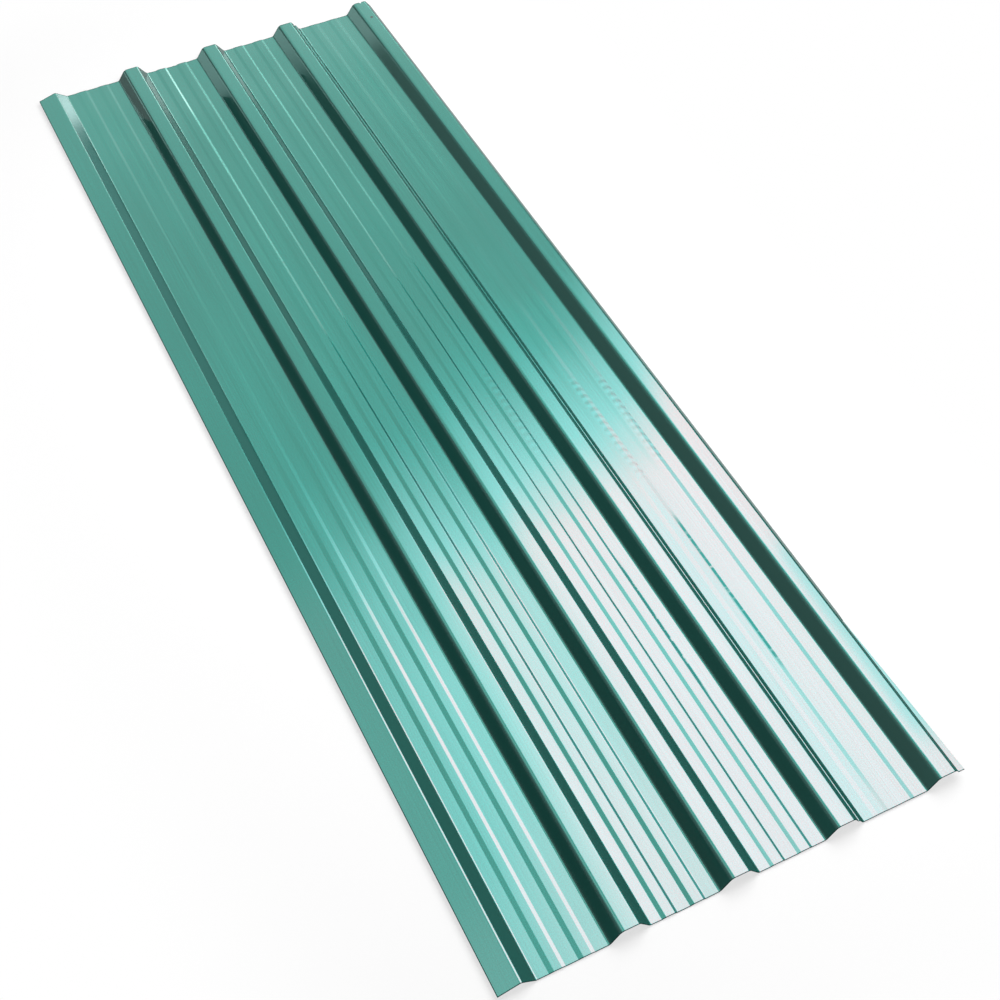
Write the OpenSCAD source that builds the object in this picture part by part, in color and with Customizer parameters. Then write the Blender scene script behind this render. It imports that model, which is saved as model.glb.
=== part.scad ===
// Ribbed roofing sheet: one strip of coated steel, roll-formed along its whole length.
// It lies ribs up. X runs across the sheet, Y along its ribs, and the pans rest on Z = 0.
// The left edge laps under the next sheet, and the right edge laps over it.

/* [Sheet] */
// Length of the sheet, along its ribs
sheet_length = 1290; // [300:10:6000]
// Thickness of the steel with its coating
sheet_thickness = 0.3; // [0.2:0.05:1]
// Bend radius of the ribs, on the inside of the bend
rib_bend_radius = 3.5; // [0.5:0.1:5]

/* [Ribs] */
// Full ribs between the two edge ribs
inner_rib_count = 3; // [0:1:8]
// Distance from one rib to the next
rib_pitch = 104.5; // [96:0.5:200]
// Height of a rib above the pans
rib_height = 13.5; // [8:0.5:20]
// Width of a rib's flat crest
crest_width = 17; // [10:0.5:24]
// Width of a rib's sloping side, seen from above
rib_side_run = 10; // [7:0.5:12]

/* [Pan swages] */
// Stiffening swages in each pan
swage_count = 2; // [1:1:2]
// Distance from one swage to the next
swage_spacing = 27; // [18:0.5:32]
// Width of a swage's flat top
swage_top_width = 7; // [4:0.5:10]
// Width of a swage's sloping side, seen from above
swage_side_run = 4; // [2:0.25:5]
// Height of a swage above its pan
swage_height = 0.5; // [0.3:0.1:1.5]
// Bend radius of the swages, on the inside of the bend
swage_bend_radius = 12; // [1:0.5:20]

/* [Underlap edge] */
// Height of the left edge rib's ridge, low enough to lie under the next sheet's rib
underlap_ridge_height = 9.5; // [7:0.5:12]
// Width of the left edge rib's sloping side, seen from above
underlap_side_run = 13.5; // [8:0.5:18]
// Width of the lip that falls from the ridge to the left edge, seen from above
underlap_lip_width = 21.5; // [10:0.5:24]
// Fall of that lip
underlap_lip_fall = 6; // [1:0.5:8]

/* [Overlap edge] */
// Width of the lip that comes down from the right edge rib's crest at the ribs' slope, seen from above
overlap_lip_width = 7; // [3:0.5:7]

/* [Hidden] */
// Flat steps in the arc of one bend
bend_steps = 4;
// Largest share of a facet that the bend at either end may take up
bend_share = 0.45;

pan_count = inner_rib_count + 1;
rib_base_width = crest_width + 2 * rib_side_run;
overlap_lip_fall = overlap_lip_width * rib_height / rib_side_run;
pan_width = rib_pitch - rib_base_width;
swage_width = swage_top_width + 2 * swage_side_run;
swage_gap = swage_spacing - swage_width;
pan_margin = (pan_width - (swage_count - 1) * swage_spacing - swage_width) / 2;

// The section is a walk from the left edge to the right. Each facet of it is [across, up, radius],
// where radius is the inside radius of the bend at the facet's far end.
underlap_facets = [
    [underlap_lip_width, underlap_lip_fall, rib_bend_radius],
    [underlap_side_run, -underlap_ridge_height, rib_bend_radius],
];
swage_facets = [
    [swage_side_run, swage_height, swage_bend_radius],
    [swage_top_width, 0, swage_bend_radius],
    [swage_side_run, -swage_height, swage_bend_radius],
];
pan_facets = [
    [pan_margin, 0, swage_bend_radius],
    for (i = [1 : swage_count])
        each concat(swage_facets, i < swage_count ? [[swage_gap, 0, swage_bend_radius]] : []),
    [pan_margin, 0, rib_bend_radius],
];
rib_facets = [
    [rib_side_run, rib_height, rib_bend_radius],
    [crest_width, 0, rib_bend_radius],
    [rib_side_run, -rib_height, rib_bend_radius],
];
overlap_facets = [
    [rib_side_run, rib_height, rib_bend_radius],
    [crest_width, 0, rib_bend_radius],
    [overlap_lip_width, -overlap_lip_fall, 0],
];
facets = [
    each underlap_facets,
    for (i = [1 : pan_count])
        each concat(pan_facets, i < pan_count ? rib_facets : overlap_facets),
];

sheet_width = underlap_lip_width + underlap_side_run + pan_count * pan_width
    + inner_rib_count * rib_base_width + rib_side_run + crest_width + overlap_lip_width;
left_edge = [-sheet_width / 2, sheet_thickness / 2 + underlap_ridge_height - underlap_lip_fall];

// Corners of the sheet's middle line, each the one before it plus a facet
corners = [
    for (i = 0, p = left_edge; i <= len(facets);
         p = i < len(facets) ? p + [facets[i][0], facets[i][1]] : p, i = i + 1) p
];

function heading(i) = atan2(facets[i][1], facets[i][0]);
function length_of(i) = norm([facets[i][0], facets[i][1]]);
function along(angle) = [cos(angle), sin(angle)];
function upward(angle) = [-sin(angle), cos(angle)];

// Radius of the middle line in the bend after facet i, kept within the facets that it joins
function bend_radius(i, turn) =
    let (
        wanted = facets[i][2] + sheet_thickness / 2,
        room = bend_share * min(length_of(i), length_of(i + 1))
    )
    turn == 0 ? wanted : min(wanted, room / tan(abs(turn) / 2));

// The bend after facet i as a list of [point of the middle line, heading there]
function bend(i) =
    let (
        turn = heading(i + 1) - heading(i),
        r = bend_radius(i, turn),
        start = corners[i + 1] - along(heading(i)) * r * tan(abs(turn) / 2),
        centre = start + sign(turn) * r * upward(heading(i))
    )
    [
        for (k = [0 : bend_steps])
            let (angle = heading(i) + turn * k / bend_steps)
            [centre - sign(turn) * r * upward(angle), angle]
    ];

last = len(facets) - 1;
middle_line = [
    [corners[0], heading(0)],
    for (i = [0 : last - 1]) each bend(i),
    [corners[last + 1], heading(last)],
];

// The middle line moved towards its upper side, or its lower side where the distance is negative
function side_line(distance) = [for (m = middle_line) m[0] + distance * upward(m[1])];
function reversed(list) = [for (i = [len(list) - 1 : -1 : 0]) list[i]];

module section() {
    polygon(concat(side_line(sheet_thickness / 2), reversed(side_line(-sheet_thickness / 2))));
}

module ribbed_sheet() {
    color([0.36, 0.64, 0.59])
        rotate([90, 0, 0])
            linear_extrude(sheet_length, center = true)
                section();
}

ribbed_sheet();
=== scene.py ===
"""Ribbed roofing sheet: the rolled and coated strip, and the studio that shows it."""

import math
import random

import bmesh
import bpy
from mathutils import Matrix, Vector


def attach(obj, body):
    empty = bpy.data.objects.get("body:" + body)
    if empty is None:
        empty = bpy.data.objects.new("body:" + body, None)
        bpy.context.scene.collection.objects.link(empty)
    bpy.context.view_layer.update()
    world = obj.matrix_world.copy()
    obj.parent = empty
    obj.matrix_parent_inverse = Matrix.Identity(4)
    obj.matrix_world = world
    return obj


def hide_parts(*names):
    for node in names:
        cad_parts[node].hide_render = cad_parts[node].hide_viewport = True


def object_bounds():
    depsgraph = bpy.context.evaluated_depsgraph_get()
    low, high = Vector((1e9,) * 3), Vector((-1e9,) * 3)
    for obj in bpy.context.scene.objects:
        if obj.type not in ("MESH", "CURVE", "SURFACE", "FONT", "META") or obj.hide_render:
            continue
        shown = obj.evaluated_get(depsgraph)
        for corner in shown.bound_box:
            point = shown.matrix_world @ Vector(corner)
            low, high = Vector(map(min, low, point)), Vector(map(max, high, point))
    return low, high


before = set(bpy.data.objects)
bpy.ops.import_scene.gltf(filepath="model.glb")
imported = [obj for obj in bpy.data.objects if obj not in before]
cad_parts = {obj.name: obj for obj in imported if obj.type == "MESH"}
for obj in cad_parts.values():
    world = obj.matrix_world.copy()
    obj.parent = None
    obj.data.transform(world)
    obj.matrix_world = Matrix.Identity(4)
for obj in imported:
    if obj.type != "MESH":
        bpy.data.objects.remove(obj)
cad_low, cad_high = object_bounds()

MM = 0.001

# Section of the sheet, as in the part's source, but for the ribs' rounder left shoulders
THICKNESS = 0.3 * MM
RIB_BEND = 3.5 * MM
SHOULDER_BEND = 6 * MM
RIB_PITCH = 104.5 * MM
RIB_HEIGHT = 13.5 * MM
CREST_WIDTH = 17 * MM
RIB_SIDE = 10 * MM
SWAGE_SPACING = 27 * MM
SWAGE_WIDTH = 15 * MM
RIDGE_HEIGHT = 9.5 * MM
RIDGE_SIDE = 13.5 * MM
UNDERLAP_LIP = 21.5 * MM
UNDERLAP_FALL = 6 * MM
OVERLAP_LIP = 7 * MM

OVERLAP_FALL = OVERLAP_LIP * RIB_HEIGHT / RIB_SIDE
SHEET_LENGTH = cad_high.y - cad_low.y
RIB_WIDTH = CREST_WIDTH + 2 * RIB_SIDE
PAN_WIDTH = RIB_PITCH - RIB_WIDTH
SWAGE_GAP = SWAGE_SPACING - SWAGE_WIDTH
PAN_MARGIN = (PAN_WIDTH - SWAGE_SPACING - SWAGE_WIDTH) / 2

# A narrow level ledge half way down the last full rib's right side
LEDGE_WIDTH = 1.3 * MM
LEDGE_BEND = 0.6 * MM
LEDGE_STEP = (RIB_SIDE - LEDGE_WIDTH) / 2

# How the rolls left the swages: a little left of the pans' middles, and unlike from pan to pan.
# Each pan's two swages have the widths of their left and right sides, and their height.
SWAGE_SHIFT = 1.2 * MM
SWAGE_BEND = 4 * MM
SWAGES = [
    ((4.5 * MM, 3 * MM, 0.5 * MM), (4.5 * MM, 3 * MM, 0.5 * MM)),
    ((3.9 * MM, 3 * MM, 0.95 * MM), (3.7 * MM, 3 * MM, 0.9 * MM)),
    ((3.8 * MM, 2.4 * MM, 0.6 * MM), (3.8 * MM, 2.8 * MM, 0.6 * MM)),
    ((4.5 * MM, 4 * MM, 0.3 * MM), (4.5 * MM, 4 * MM, 0.3 * MM)),
]


def swage_facets(left_side, right_side, height):
    """One swage, from its left foot to its right."""
    return [
        (left_side, height, SWAGE_BEND),
        (SWAGE_WIDTH - left_side - right_side, 0, SWAGE_BEND),
        (right_side, -height, SWAGE_BEND),
    ]


def pan_facets(first, second):
    """A pan with its two swages."""
    return [
        (PAN_MARGIN - SWAGE_SHIFT, 0, SWAGE_BEND),
        *swage_facets(*first),
        (SWAGE_GAP, 0, SWAGE_BEND),
        *swage_facets(*second),
        (PAN_MARGIN + SWAGE_SHIFT, 0, RIB_BEND),
    ]


# Each facet of the section is (across, up, inside radius of the bend at its far end)
UNDERLAP = [
    (UNDERLAP_LIP, UNDERLAP_FALL, RIB_BEND),
    (RIDGE_SIDE, -RIDGE_HEIGHT, RIB_BEND),
]
RIB_TOP = [
    (RIB_SIDE, RIB_HEIGHT, SHOULDER_BEND),
    (CREST_WIDTH, 0, RIB_BEND),
]
RIB = [*RIB_TOP, (RIB_SIDE, -RIB_HEIGHT, RIB_BEND)]
LEDGED_RIB = [
    *RIB_TOP,
    (LEDGE_STEP, -RIB_HEIGHT / 2, LEDGE_BEND),
    (LEDGE_WIDTH, 0, LEDGE_BEND),
    (LEDGE_STEP, -RIB_HEIGHT / 2, RIB_BEND),
]
# The overlap lip is two halves in line, so that its lower half can be drawn out later
OVERLAP = [
    *RIB_TOP,
    (OVERLAP_LIP / 2, -OVERLAP_FALL / 2, 0),
    (OVERLAP_LIP / 2, -OVERLAP_FALL / 2, 0),
]
FACETS = UNDERLAP.copy()
for pair, rib in zip(SWAGES, (RIB, RIB, LEDGED_RIB, OVERLAP)):
    FACETS += pan_facets(*pair) + rib
SHEET_WIDTH = sum(across for across, up, bend in FACETS)
LEFT_EDGE = Vector((-SHEET_WIDTH / 2, 0, THICKNESS / 2 + RIDGE_HEIGHT - UNDERLAP_FALL))
FIRST_PAN = LEFT_EDGE.x + UNDERLAP_LIP + RIDGE_SIDE + PAN_WIDTH / 2
PAN_MIDDLES = [FIRST_PAN + i * RIB_PITCH for i in range(len(SWAGES))]

# Flat steps in a bend, for a sharp one and for a slight one
SHARP_STEPS = 6
SLIGHT_STEPS = 3
SLIGHT_TURN = math.radians(20)

# Cuts across the strip along its length, and the least angle of an edge that is shaded sharp
LENGTH_CUTS = 128
SHARP_ANGLE = math.radians(35)

# How near counts as lying on a fold, and on an edge or an end of the sheet
FOLD_REACH = 0.01 * MM
EDGE_REACH = 0.1 * MM

# How far each thin pan sags between its ribs, and the slow buckles along them
PAN_SAGS = [0.13 * MM, 0.8 * MM, 0.35 * MM, -0.05 * MM]
BUCKLE_SEED = 7
BUCKLES_PER_PAN = 12
BUCKLE_HEIGHT = 0.3 * MM
BUCKLE_REACH = 70 * MM
BUCKLE_SPREAD = 0.3

# At its near end the right edge's lip is cut to half its depth, and its rim is bent out level.
# The rim is widest at the end, and would narrow to nothing a little past the flare.
FLARE_LENGTH = 185 * MM
FLARE_WIDTH = 6 * MM
FLARE_RUN_OUT = 10 * MM

# A nick in the far edge of the right edge rib's crest
NICK_PLACE = 210.8 * MM
NICK_DEPTH = 2.5 * MM
NICK_WIDTH = 3 * MM
NICK_FLOOR = 0.8 * MM
NICK_CUTS = 24

# Dark broken rubs that the rolls left, each (place across, near end, far end, half its width)
ROLL_RUBS = [
    (149 * MM, -475 * MM, -285 * MM, 1.5 * MM),
    (72.5 * MM, -470 * MM, -310 * MM, 0.8 * MM),
]
RUB_SOFT_SIDE = 0.8 * MM
RUB_SOFT_END = 30 * MM

# Shallow ripples across the last two pans, each (place across, near end, far end, depth)
CHATTER = [
    (145.5 * MM, -225 * MM, -75 * MM, 0.065 * MM),
    (172.5 * MM, -215 * MM, -85 * MM, 0.065 * MM),
    (67.5 * MM, -150 * MM, -20 * MM, 0.025 * MM),
]
CHATTER_STEP = 10.5 * MM
CHATTER_HALF_WIDTH = 3.5 * MM
CHATTER_SOFT_SIDE = 2 * MM
CHATTER_SOFT_END = 20 * MM

# Width of the painted shade, a dark band along the left edge and both ends, and of its soft border
EDGE_SHADE_WIDTH = 0.7 * MM
EDGE_SHADE_BORDER = 0.42 * MM

# A spot of dirt near the far end of the right edge rib, and the radius of its solid middle
SPOT = (211.5 * MM, 607.6 * MM, 13.8 * MM)
SPOT_RADIUS = 2.4 * MM
SPOT_CORE = 1.44 * MM

# Colours of the coats and the steel. The flats lie between two tones, each with its place on a ramp.
FLAT_TONES = [(0.3, (0.009, 0.206, 0.161)), (0.7, (0.015, 0.302, 0.242))]
# Painted shade: a dark teal for the ribs' steep sides, chosen by slope, standing for the dark surroundings
# they reflect
STEEP_SHADE_TEAL = (0.0125, 0.085, 0.07, 1)
RUBBED_TEAL = (0.01, 0.17, 0.13, 1)
# Painted shade: a dark outline along the left edge and both ends
EDGE_SHADE_TEAL = (0.006, 0.04, 0.035, 1)
DIRT = (0.02, 0.016, 0.012, 1)
BACK_GREY = (0.42, 0.44, 0.43, 1)
# The cut steel, darkened to a teal-grey: partly its own colour, partly painted shade for the dark outlines
# at the edges
STEEL_AND_SHADE_GREY = (0.06, 0.09, 0.085, 1)

# The upward part of a face's normal where the painted shade on the steep sides begins, and where it is
# full
STEEP_START = 0.96
STEEP_FULL = 0.85

# Cells to the metre of the coat's patterns, across, along and up, and the depth of its streaks
STREAK_CELLS = (900, 5, 0)
GRAIN_CELLS = (800, 800, 0)
CLOUD_CELLS = (14, 3, 0)
BREAK_CELLS = (20, 90, 0)
STREAK_RELIEF = 0.003 * MM

# Camera: its eye, the way it looks, its roll, and its focal length in pixels of the picture
CAMERA_EYE = Vector((-0.4376, -1.1034, 1.2469))
CAMERA_LOOK = Vector((0.27473, 0.56968, -0.77459))
CAMERA_ROLL = math.radians(-0.8)
CAMERA_FOCAL_PIXELS = 1616.3
IMAGE_PIXELS = 1000
SENSOR_WIDTH = 36.0

# The floor, and how much of the sheet's shadow it keeps, from close by to far off
FLOOR_DROP = 1.5 * MM
FLOOR_HALF_SIDE = 6.0
SHADOW_NEAR = 20 * MM
SHADOW_FAR = 250 * MM
SHADOW_SHARE = 0.35
PAPER_WHITE = (0.9, 0.9, 0.9, 1)

# Strength of the light from all round, apart from what the eye and reflections see
FILL_LIGHT = 0.35

# Walls of the studio in metres: how far off they stand, and their tops
SIDE_WALL = 5.0
FAR_WALL = 8.0
LEFT_TOP = 3.0
RIGHT_TOP = 5.0
FAR_LOWER_TOP = 4.8
FAR_UPPER_TOP = 6.4

# The softbox leans over the right side. Its face, which reflections see, is wider than its lamp.
SOFTBOX_EDGE = Vector((0.0817, 0, 1.732))
SOFTBOX_SLOPE = Vector((0.738, 0, -0.674))
FACE_WIDTH = 1.6
FACE_LENGTH = 2.0
FACE_MIDDLE = 0.4
LAMP_WIDTH = 1.3
LAMP_LENGTH = 1.45
LAMP_MIDDLE = 0.085
LAMP_RADIANCE = 5.0

# A level card above the left side, which the left lip reflects
LIP_FILL_MIDDLE = Vector((-0.825, 0.2, 1.6))
LIP_FILL_WIDTH = 0.8
LIP_FILL_LENGTH = 2.0

# Red, green and blue of the lights on the cards
LEFT_END_LIGHT = (2.4, 4.2, 3.9)
RIGHT_FOOT_LIGHT = (0.5, 1.0, 0.95)
RIGHT_PATCH_LIGHT = (7.5, 10.0, 9.8)
SOFTBOX_RIM_LIGHT = (2.5, 1.8, 2.1)
SOFTBOX_CORE_LIGHT = (7.4, 0.15, 0.55)
LIP_LIGHT = (0.5, 0.25, 0.3)


class Wire:
    """A node's output. Arithmetic on it adds Math nodes."""

    def __init__(self, finish, socket):
        self.finish = finish
        self.socket = socket

    def maths(self, operation, first, second=0.0):
        """A Math node on one value or two."""
        return self.finish.node("ShaderNodeMath", {"operation": operation}, {0: first, 1: second})

    def __add__(self, other):
        return self.maths("ADD", self, other)

    def __radd__(self, other):
        return self.maths("ADD", other, self)

    def __sub__(self, other):
        return self.maths("SUBTRACT", self, other)

    def __rsub__(self, other):
        return self.maths("SUBTRACT", other, self)

    def __mul__(self, other):
        return self.maths("MULTIPLY", self, other)

    def __rmul__(self, other):
        return self.maths("MULTIPLY", other, self)

    def __abs__(self):
        return self.maths("ABSOLUTE", self)

    def sine(self):
        """The sine of an angle in radians."""
        return self.maths("SINE", self)

    def at_least(self, other):
        """The greater of the two."""
        return self.maths("MAXIMUM", self, other)

    def at_most(self, other):
        """The lesser of the two."""
        return self.maths("MINIMUM", self, other)

    def rise(self, low, high):
        """0 below low, 1 above high, with a soft step between. It falls where low is the greater."""
        return self.finish.node(
            "ShaderNodeMapRange",
            {"interpolation_type": "SMOOTHSTEP"},
            {"Value": self, "From Min": low, "From Max": high},
        )

    def band(self, low, high, soft):
        """1 between low and high, and 0 outside, over a soft edge at each end."""
        return self.rise(low - soft / 2, low + soft / 2) * self.rise(high + soft / 2, high - soft / 2)


class Finish:
    """The node tree of a material or the world."""

    def __init__(self, owner):
        owner.use_nodes = True
        self.owner = owner
        self.tree = owner.node_tree
        self.tree.nodes.clear()

    def node(self, kind, settings=None, inputs=None, output=0):
        """Adds a node, sets its settings, then its inputs, and returns one of its outputs."""
        made = self.tree.nodes.new(kind)
        for name, value in (settings or {}).items():
            if name == "stops":
                ramp = made.color_ramp.elements
                while len(ramp) < len(value):
                    ramp.new(1.0)
                for stop, (position, colour) in zip(ramp, value):
                    stop.position = position
                    stop.color = (*colour, 1.0)
            else:
                setattr(made, name, value)
        for key, value in (inputs or {}).items():
            socket = made.inputs[key]
            if isinstance(value, Wire):
                self.tree.links.new(value.socket, socket)
            else:
                socket.default_value = value
        return Wire(self, made.outputs[output]) if made.outputs else None

    def part(self, vector, axis):
        """The X, Y or Z of a vector."""
        return self.node("ShaderNodeSeparateXYZ", inputs={0: vector}, output=axis)

    def noise(self, place, cells):
        """Even noise, with so many cells to the metre along each axis."""
        spot = self.node("ShaderNodeMapping", inputs={"Vector": place, "Scale": cells})
        return self.node("ShaderNodeTexNoise", inputs={"Vector": spot, "Scale": 1.0, "Detail": 2.0})

    def blend(self, share, first, second):
        """A colour between two others. The colour sockets of a Mix node go by their numbers."""
        return self.node("ShaderNodeMix", {"data_type": "RGBA"}, {0: share, 6: first, 7: second}, output=2)


def pick_edges(strip, wanted):
    """Selects the edges of the mesh in edit mode whose two ends are as wanted, and nothing else."""
    bpy.ops.mesh.select_mode(type="EDGE")
    bpy.ops.mesh.select_all(action="DESELECT")
    mesh = bmesh.from_edit_mesh(strip.data)
    for edge in mesh.edges:
        a, b = (v.co for v in edge.verts)
        edge.select_set(wanted(a, b))
    bmesh.update_edit_mesh(strip.data)


def pick_points(strip, wanted):
    """Selects the vertices of the mesh in edit mode whose places are as wanted, and nothing else."""
    bpy.ops.mesh.select_mode(type="VERT")
    bpy.ops.mesh.select_all(action="DESELECT")
    mesh = bmesh.from_edit_mesh(strip.data)
    for point in mesh.verts:
        point.select_set(wanted(point.co))
    bmesh.update_edit_mesh(strip.data)


def press(move, reach, falloff="SMOOTH"):
    """Moves what is selected, and draws along what lies within reach of it."""
    bpy.ops.transform.translate(
        value=move,
        use_proportional_edit=True,
        proportional_edit_falloff=falloff,
        proportional_size=reach,
    )


def runs_along(a, b):
    """True for an edge that runs the sheet's length."""
    return abs(a.y - b.y) > SHEET_LENGTH / 2


def lies_on(fold):
    """A test for the lengthwise edges at one fold of the section."""

    def wanted(a, b):
        return runs_along(a, b) and abs(a.x - fold.x) < FOLD_REACH and abs(a.z - fold.z) < FOLD_REACH

    return wanted


def form_strip():
    """One strip of sheet, folded facet by facet from its left edge, with every fold then rolled round."""
    across, up, bend = FACETS[0]
    bpy.ops.object.select_all(action="DESELECT")
    bpy.ops.mesh.primitive_plane_add(size=1, location=LEFT_EDGE + Vector((across / 2, 0, 0)))
    strip = bpy.context.object
    strip.name = "coated_sheet"
    strip.scale = (across, SHEET_LENGTH, 1)
    bpy.ops.object.transform_apply(location=True, rotation=True, scale=True)

    bpy.ops.object.mode_set(mode="EDIT")
    corner = LEFT_EDGE + Vector((across, 0, 0))
    pick_edges(strip, lies_on(corner))
    bpy.ops.transform.translate(value=(0, 0, up))
    corner.z += up
    heading = math.atan2(up, across)
    folds = []
    for next_across, next_up, next_bend in FACETS[1:]:
        next_heading = math.atan2(next_up, next_across)
        folds.append((corner.copy(), bend + THICKNESS / 2, abs(next_heading - heading)))
        step = Vector((next_across, 0, next_up))
        bpy.ops.mesh.extrude_edges_move(TRANSFORM_OT_translate={"value": step})
        corner += step
        heading = next_heading
        bend = next_bend
    for place, radius, turn in folds:
        if turn == 0:
            continue
        steps = SLIGHT_STEPS if turn < SLIGHT_TURN else SHARP_STEPS
        pick_edges(strip, lies_on(place))
        bpy.ops.mesh.bevel(offset=radius * math.tan(turn / 2), segments=steps, affect="EDGES")
    bpy.ops.mesh.select_all(action="SELECT")
    bpy.ops.mesh.normals_make_consistent(inside=False)
    pick_edges(strip, runs_along)
    bpy.ops.mesh.subdivide(number_cuts=LENGTH_CUTS)
    bpy.ops.object.mode_set(mode="OBJECT")
    return strip


def settle(strip):
    """Lets the thin pans sag between the ribs, and buckle slowly along their length."""
    draw = random.Random(BUCKLE_SEED)
    cut_step = SHEET_LENGTH / LENGTH_CUTS
    half_gap = SWAGE_GAP / 2
    bpy.ops.object.mode_set(mode="EDIT")
    for middle, sag in zip(PAN_MIDDLES, PAN_SAGS):
        pick_points(strip, lambda p: abs(p.x - middle + SWAGE_SHIFT) < half_gap)
        press((0, 0, -sag), PAN_WIDTH / 2 - half_gap, "INVERSE_SQUARE")
    for middle in PAN_MIDDLES:
        for i in range(BUCKLES_PER_PAN):
            place = SHEET_LENGTH * ((i + draw.random()) / BUCKLES_PER_PAN - 0.5)
            height = BUCKLE_HEIGHT * draw.uniform(-1, 1)
            reach = BUCKLE_REACH * draw.uniform(1 - BUCKLE_SPREAD, 1 + BUCKLE_SPREAD)
            pick_points(strip, lambda p: abs(p.x - middle) < half_gap and abs(p.y - place) < cut_step / 2)
            press((0, 0, height), reach)
    bpy.ops.object.mode_set(mode="OBJECT")


def flare_lip(strip):
    """Draws the right edge up at its near end, then out to a level rim that widens towards the end."""
    right_edge = SHEET_WIDTH / 2 - EDGE_REACH
    near_end = -SHEET_LENGTH / 2
    bpy.ops.object.mode_set(mode="EDIT")
    pick_points(strip, lambda p: p.x > right_edge and p.y < near_end + FLARE_LENGTH)
    bpy.ops.mesh.hide(unselected=True)
    bpy.ops.mesh.select_all(action="SELECT")
    bpy.ops.transform.translate(value=(-OVERLAP_LIP / 2, 0, OVERLAP_FALL / 2))
    pick_points(strip, lambda p: p.x > right_edge - OVERLAP_LIP / 2 and p.y < near_end + EDGE_REACH)
    press((FLARE_WIDTH, 0, 0), FLARE_LENGTH + FLARE_RUN_OUT, "LINEAR")
    bpy.ops.mesh.reveal()
    bpy.ops.object.mode_set(mode="OBJECT")


def nick_crest(strip):
    """Dents the far edge of the right edge rib's crest."""
    far_end = SHEET_LENGTH / 2 - EDGE_REACH

    def holds_nick(a, b):
        return min(a.y, b.y) > far_end and min(a.x, b.x) < NICK_PLACE < max(a.x, b.x)

    bpy.ops.object.mode_set(mode="EDIT")
    pick_edges(strip, holds_nick)
    bpy.ops.mesh.subdivide(number_cuts=NICK_CUTS)
    pick_points(strip, lambda p: p.y > far_end)
    bpy.ops.mesh.hide(unselected=True)
    pick_points(strip, lambda p: p.y > far_end and abs(p.x - NICK_PLACE) < NICK_FLOOR / 2)
    press((0, -NICK_DEPTH, 0), NICK_WIDTH / 2, "ROOT")
    bpy.ops.mesh.reveal()
    bpy.ops.object.mode_set(mode="OBJECT")


def thicken(strip):
    """Gives the strip its thickness, with the back and the cut edges as materials of their own."""
    wall = strip.modifiers.new("steel", "SOLIDIFY")
    wall.thickness = THICKNESS
    wall.offset = 0
    wall.use_even_offset = True
    wall.material_offset = 1
    wall.material_offset_rim = 2
    bpy.ops.object.modifier_apply(modifier=wall.name)
    bpy.ops.object.shade_smooth_by_angle(angle=SHARP_ANGLE)
    flats = strip.modifiers.new("flats", "WEIGHTED_NORMAL")
    flats.keep_sharp = True
    bpy.ops.object.modifier_apply(modifier=flats.name)


def teal_coat():
    """The glossy teal top coat, pearly on the flats, with painted shade: a plain dark teal on the ribs'
    steep sides.
    """
    coat = Finish(bpy.data.materials.new("teal_coat"))
    place = coat.node("ShaderNodeTexCoord", output="Object")
    facing = coat.node("ShaderNodeTexCoord", output="Normal")
    # Painted shade on the steep sides: darker, less metallic and with less coat
    steep_shade = coat.part(facing, "Z").rise(STEEP_START, STEEP_FULL)
    x = coat.part(place, "X")
    y = coat.part(place, "Y")

    streaks = coat.noise(place, STREAK_CELLS)
    grain = coat.noise(place, GRAIN_CELLS)
    clouds = coat.noise(place, CLOUD_CELLS)
    tone = streaks * 0.3 + grain * 0.4 + clouds * 0.3
    flats = coat.node("ShaderNodeValToRGB", {"stops": FLAT_TONES}, {0: tone})

    breaks = coat.noise(place, BREAK_CELLS).rise(0.33, 0.48)
    rubs = breaks * sum(
        x.band(side - half, side + half, RUB_SOFT_SIDE) * y.band(near, far, RUB_SOFT_END)
        for side, near, far, half in ROLL_RUBS
    )
    away = coat.node(
        "ShaderNodeVectorMath",
        {"operation": "DISTANCE"},
        {0: place, 1: SPOT},
        output="Value",
    )
    # Painted shade in a dark band along the left edge and both ends, with no clear coat there
    beside = -SHEET_WIDTH / 2 - x
    beyond = abs(y) - SHEET_LENGTH / 2
    outward = beside.at_least(beyond) + EDGE_SHADE_WIDTH
    edge_shade = outward.rise(-EDGE_SHADE_BORDER / 2, EDGE_SHADE_BORDER / 2)

    colour = coat.blend(steep_shade, flats, STEEP_SHADE_TEAL)
    colour = coat.blend(rubs, colour, RUBBED_TEAL)
    colour = coat.blend(away.rise(SPOT_RADIUS, SPOT_CORE), colour, DIRT)
    colour = coat.blend(edge_shade, colour, EDGE_SHADE_TEAL)

    wave = (y * (2 * math.pi / CHATTER_STEP)).sine()
    chatter = sum(
        x.band(side - CHATTER_HALF_WIDTH, side + CHATTER_HALF_WIDTH, CHATTER_SOFT_SIDE)
        * y.band(near, far, CHATTER_SOFT_END)
        * depth
        for side, near, far, depth in CHATTER
    )
    lay = coat.node(
        "ShaderNodeBump",
        inputs={"Strength": 1.0, "Distance": 1.0, "Height": wave * chatter + streaks * STREAK_RELIEF},
    )
    shader = coat.node(
        "ShaderNodeBsdfPrincipled",
        inputs={
            "Base Color": colour,
            "Metallic": 1 - steep_shade * 0.95,
            "Roughness": clouds * 0.1 + 0.2,
            "Specular IOR Level": 0.0,
            "Normal": lay,
            "Coat Weight": (1 - steep_shade * 0.6) * (1 - rubs) * (1 - edge_shade),
            "Coat Roughness": 0.08,
            "Coat IOR": 1.65,
        },
    )
    coat.node("ShaderNodeOutputMaterial", inputs={"Surface": shader})
    return coat.owner


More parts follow.
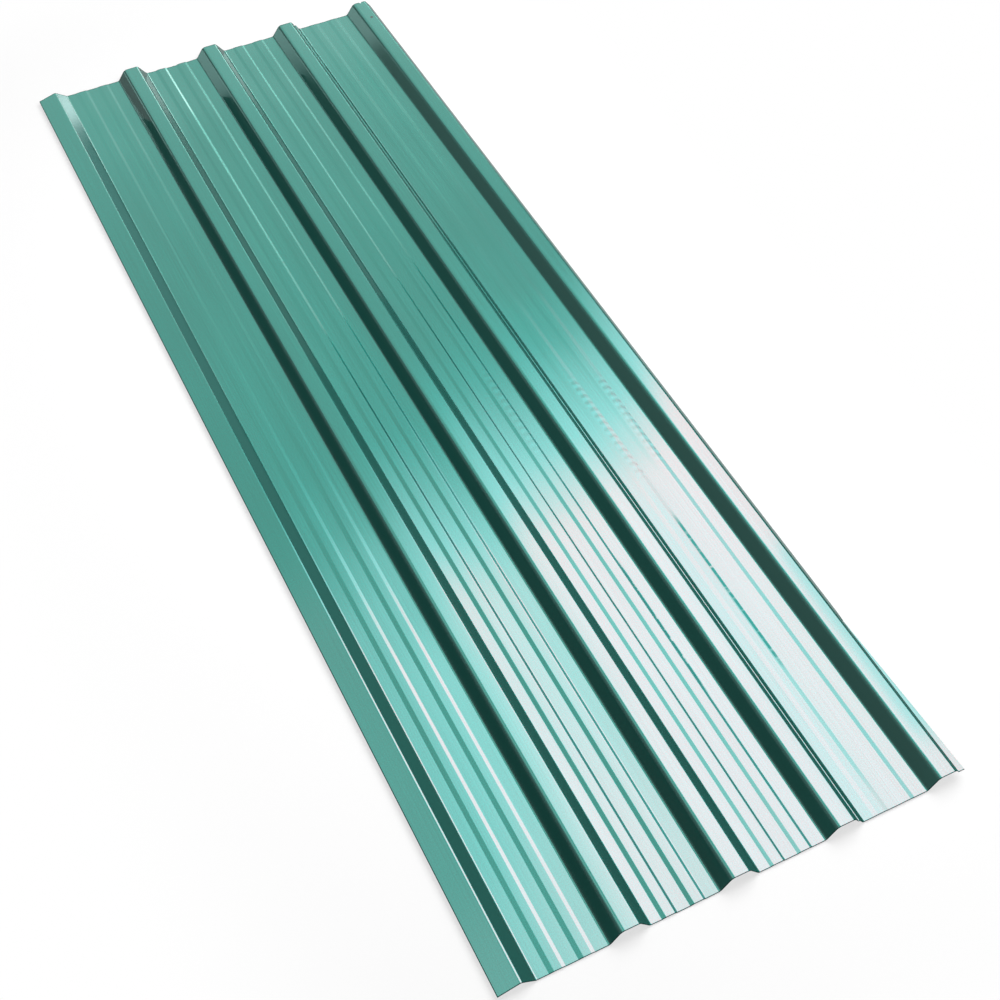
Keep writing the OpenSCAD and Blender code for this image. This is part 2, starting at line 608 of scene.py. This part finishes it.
def back_coat():
    """The pale grey coat on the underside."""
    coat = Finish(bpy.data.materials.new("back_coat"))
    shader = coat.node("ShaderNodeBsdfPrincipled", inputs={"Base Color": BACK_GREY, "Roughness": 0.5})
    coat.node("ShaderNodeOutputMaterial", inputs={"Surface": shader})
    return coat.owner


def cut_steel():
    """Sheared edges, where the steel shows between its coats, darkened with painted shade."""
    steel = Finish(bpy.data.materials.new("cut_steel"))
    shader = steel.node(
        "ShaderNodeBsdfPrincipled",
        inputs={"Base Color": STEEL_AND_SHADE_GREY, "Metallic": 1.0, "Roughness": 0.45},
    )
    steel.node("ShaderNodeOutputMaterial", inputs={"Surface": shader})
    return steel.owner


def seen_directly(finish):
    """1 for the rays of the camera, of reflections and of clear materials, and 0 for the rest."""
    rays = ("Is Camera Ray", "Is Glossy Ray", "Is Transmission Ray")
    total = sum(finish.node("ShaderNodeLightPath", output=ray) for ray in rays)
    return total.at_most(1.0)


def surroundings():
    """White to look at, and a dimmer fill for the floor."""
    world = bpy.data.worlds.new("studio")
    bpy.context.scene.world = world
    sky = Finish(world)
    strength = seen_directly(sky) * (1 - FILL_LIGHT) + FILL_LIGHT
    background = sky.node("ShaderNodeBackground", inputs={"Color": (1, 1, 1, 1), "Strength": strength})
    sky.node("ShaderNodeOutputWorld", inputs={"Surface": background})


def stand_plane(name, middle, across, up, material):
    """A plane of the studio, given by its middle and its two half sides."""
    bpy.ops.object.select_all(action="DESELECT")
    bpy.ops.mesh.primitive_plane_add(size=2)
    plane = bpy.context.object
    plane.name = name
    turn = Matrix((across, up, across.cross(up).normalized())).transposed()
    plane.data.transform(Matrix.Translation(middle) @ turn.to_4x4())
    plane.data.materials.append(material)
    return plane


def floor():
    """White paper that keeps some of the sheet's shadow and fades to plain white away from it."""
    paper = Finish(bpy.data.materials.new("white_paper"))
    place = paper.node("ShaderNodeTexCoord", output="Object")
    beside = abs(paper.part(place, "X")) - SHEET_WIDTH / 2
    beyond = abs(paper.part(place, "Y")) - SHEET_LENGTH / 2
    clear = beside.at_least(beyond).rise(SHADOW_NEAR, SHADOW_FAR)
    plain = (clear * SHADOW_SHARE + (1 - SHADOW_SHARE)) * seen_directly(paper)
    white = paper.node("ShaderNodeEmission", inputs={"Color": (1, 1, 1, 1), "Strength": 1.0})
    shaded = paper.node("ShaderNodeBsdfDiffuse", inputs={"Color": PAPER_WHITE})
    mixed = paper.node("ShaderNodeMixShader", inputs={0: plain, 1: shaded, 2: white})
    paper.node("ShaderNodeOutputMaterial", inputs={"Surface": mixed})
    middle = Vector((0, 0, cad_low.z - FLOOR_DROP))
    across = Vector((FLOOR_HALF_SIDE, 0, 0))
    along = Vector((0, FLOOR_HALF_SIDE, 0))
    stand_plane("floor", middle, across, along, paper.owner)


def card(name, middle, across, up, glow):
    """A card that only reflections see. Its red, green and blue follow from the place on it."""
    paint = Finish(bpy.data.materials.new(name))
    place = paint.node("ShaderNodeTexCoord", output="Object")
    red, green, blue = glow(*(paint.part(place, axis) for axis in "XYZ"))
    colour = paint.node("ShaderNodeCombineColor", inputs={0: red, 1: green, 2: blue})
    light = paint.node("ShaderNodeEmission", inputs={"Color": colour, "Strength": 1.0})
    paint.node("ShaderNodeOutputMaterial", inputs={"Surface": light})
    plane = stand_plane(name, middle, across, up, paint.owner)
    plane.visible_camera = False
    plane.visible_diffuse = False
    plane.visible_shadow = False


# What each card shows, as red, green and blue, by the place on it in metres


def left_glow(x, y, z):
    """Dark, but for the far end, and lighter above."""
    end = y.rise(6.85, 6.95)
    level = z.rise(0.6, 1.0) * 0.6 + 0.1
    return [level + end * light for light in LEFT_END_LIGHT]


def right_glow(x, y, z):
    """A dim teal foot with a bright patch at the far end, and lighter above."""
    low = z.rise(1.3, 1.0)
    foot = (y.rise(2.0, 7.0) * 1.4 + 0.25) * low
    patch = y.rise(7.46, 7.72) * low
    level = y.rise(3.0, 6.5) * z.rise(1.5, 3.0) * 1.3 + z.rise(0.5, 5.0) * 0.3 + 0.1
    lights = zip(RIGHT_FOOT_LIGHT, RIGHT_PATCH_LIGHT)
    return [level + foot * dim + patch * bright for dim, bright in lights]


def far_lower_glow(x, y, z):
    """A haze above a dimmer foot, and a band of light at the right end."""
    haze = x.rise(-4.5, -1.0) * z.rise(3.4, 4.2) * 0.75
    strip = x.rise(3.4, 4.4) * z.band(2.0, 3.55, 0.3) * 5.5
    return [haze + strip + 0.72] * 3


def far_upper_glow(x, y, z):
    """White, and brighter low down on the right."""
    return [x.rise(0.0, 3.0) * z.rise(6.1, 4.6) * 0.5 + 1] * 3


def softbox_glow(x, y, z):
    """A pale rim and a rosy middle, which the green coat turns to a pale grey, and a dark right end."""
    bowed = y + x.band(0.6, 0.75, 0.12) * 0.06
    nearer = x + y.rise(0.45, -0.1) * 0.1
    soft = y.rise(1.27, 0.55)
    crisp = bowed.rise(1.14, 0.75)
    rim = (soft + (crisp - soft) * x.rise(0.2, 0.35)) * x.rise(0.04, 0.27)
    dip = x.rise(0.755, 0.785) * y.band(-0.17, 0.275, 0.08)
    wash = x.band(0.66, 0.69, 0.04) * y.rise(0.7, 0.5)
    face = nearer.rise(0.2, 0.56) * bowed.rise(0.83, 0.63) * x.rise(0.89, 0.81)
    core = face * (1 - dip * 0.75 - wash * 0.5)
    closed = 1 - x.rise(0.89, 0.95) * 0.85
    lights = zip(SOFTBOX_RIM_LIGHT, SOFTBOX_CORE_LIGHT)
    return [(1 + rim * pale) * closed + core * rosy for pale, rosy in lights]


def lip_glow(x, y, z):
    """A faint glow for the left lip."""
    glow = x.rise(-1.15, -0.95) * x.rise(-0.5, -0.7) * (y.rise(1.15, 0.85) + y.rise(0.25, 0.0))
    return [glow * light + 1 for light in LIP_LIGHT]


def softbox_middle(width, along):
    """The middle of a face of the softbox, which hangs from the softbox's upper edge."""
    return SOFTBOX_EDGE + SOFTBOX_SLOPE * (width / 2) + Vector((0, along, 0))


def cards():
    """Dark side walls, a bright wall past the far end, the softbox's face and a fill for the left lip."""
    along = Vector((0, FAR_WALL, 0))
    across = Vector((SIDE_WALL, 0, 0))
    walls = [
        ("left_wall", -across, along, 0, LEFT_TOP, left_glow),
        ("right_wall", across, along, 0, RIGHT_TOP, right_glow),
        ("far_wall", along, across, 0, FAR_LOWER_TOP, far_lower_glow),
        ("far_top", along, across, FAR_LOWER_TOP, FAR_UPPER_TOP, far_upper_glow),
    ]
    for name, foot, half_side, bottom, top, glow in walls:
        middle = foot + Vector((0, 0, (bottom + top) / 2))
        card(name, middle, half_side, Vector((0, 0, (top - bottom) / 2)), glow)

    middle = softbox_middle(FACE_WIDTH, FACE_MIDDLE)
    half_length = Vector((0, FACE_LENGTH / 2, 0))
    card("softbox_face", middle, SOFTBOX_SLOPE * (FACE_WIDTH / 2), half_length, softbox_glow)

    half_width = Vector((LIP_FILL_WIDTH / 2, 0, 0))
    half_length = Vector((0, LIP_FILL_LENGTH / 2, 0))
    card("lip_fill", LIP_FILL_MIDDLE, half_width, half_length, lip_glow)


def softbox_lamp():
    """The softbox's light, which is not seen in reflections."""
    lamp = bpy.data.lights.new("softbox", "AREA")
    lamp.shape = "RECTANGLE"
    lamp.size = LAMP_WIDTH
    lamp.size_y = LAMP_LENGTH
    lamp.energy = math.pi * LAMP_WIDTH * LAMP_LENGTH * LAMP_RADIANCE
    box = bpy.data.objects.new("softbox", lamp)
    bpy.context.scene.collection.objects.link(box)
    along = Vector((0, 1, 0))
    turn = Matrix((SOFTBOX_SLOPE, along, SOFTBOX_SLOPE.cross(along))).transposed()
    middle = softbox_middle(LAMP_WIDTH, LAMP_MIDDLE)
    box.matrix_world = Matrix.Translation(middle) @ turn.to_4x4()
    box.visible_glossy = False


def camera():
    """The photograph's viewpoint."""
    lens = bpy.data.cameras.new("camera")
    lens.sensor_width = SENSOR_WIDTH
    lens.lens = CAMERA_FOCAL_PIXELS / IMAGE_PIXELS * SENSOR_WIDTH
    eye = bpy.data.objects.new("camera", lens)
    bpy.context.scene.collection.objects.link(eye)
    turn = CAMERA_LOOK.to_track_quat("-Z", "Y").to_matrix() @ Matrix.Rotation(CAMERA_ROLL, 3, "Z")
    eye.matrix_world = Matrix.Translation(CAMERA_EYE) @ turn.to_4x4()
    bpy.context.scene.camera = eye


camera()
sheet = form_strip()
for material in (teal_coat(), back_coat(), cut_steel()):
    sheet.data.materials.append(material)
settle(sheet)
flare_lip(sheet)
nick_crest(sheet)
thicken(sheet)
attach(sheet, "root")
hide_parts("ribbed_sheet")
surroundings()
floor()
cards()
softbox_lamp()

bpy.context.scene.view_settings.view_transform = "Standard"
